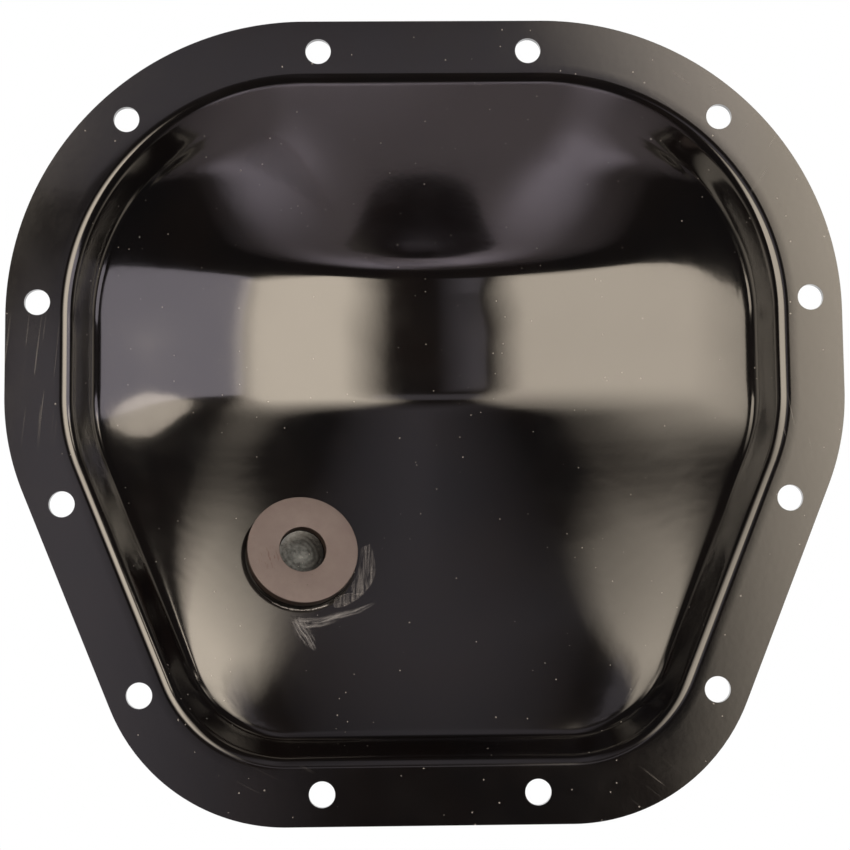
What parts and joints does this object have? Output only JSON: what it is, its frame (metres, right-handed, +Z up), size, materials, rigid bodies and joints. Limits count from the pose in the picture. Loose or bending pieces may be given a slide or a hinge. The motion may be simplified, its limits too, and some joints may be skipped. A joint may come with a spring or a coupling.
{
  "type": "differential cover",
  "caption": "Pressed sheet steel differential cover, a domed pan with a bolting flange, a stepped wall and a ring magnet bonded inside it.",
  "frame": {"origin": "middle of the opening, on the plane of the sealing face: halfway between the sides and halfway between top and bottom of the rim", "axes": "+Z up as on the vehicle, -Y out of the sealing face towards the axle housing, +Y back to the outside of the dome, +X to the right when one looks into the pan"},
  "size_m": [0.336, 0.0745, 0.3224],
  "materials": {
    "black_paint": "gloss black paint on pressed sheet steel",
    "ferrite": null,
    "adhesive": "cured clear adhesive, greyish and flaky at its edges"
  },
  "bodies": {
    "root": {"cover": "black_paint", "magnet": "ferrite", "magnet_adhesive": "adhesive"}
  },
  "joints": []
}
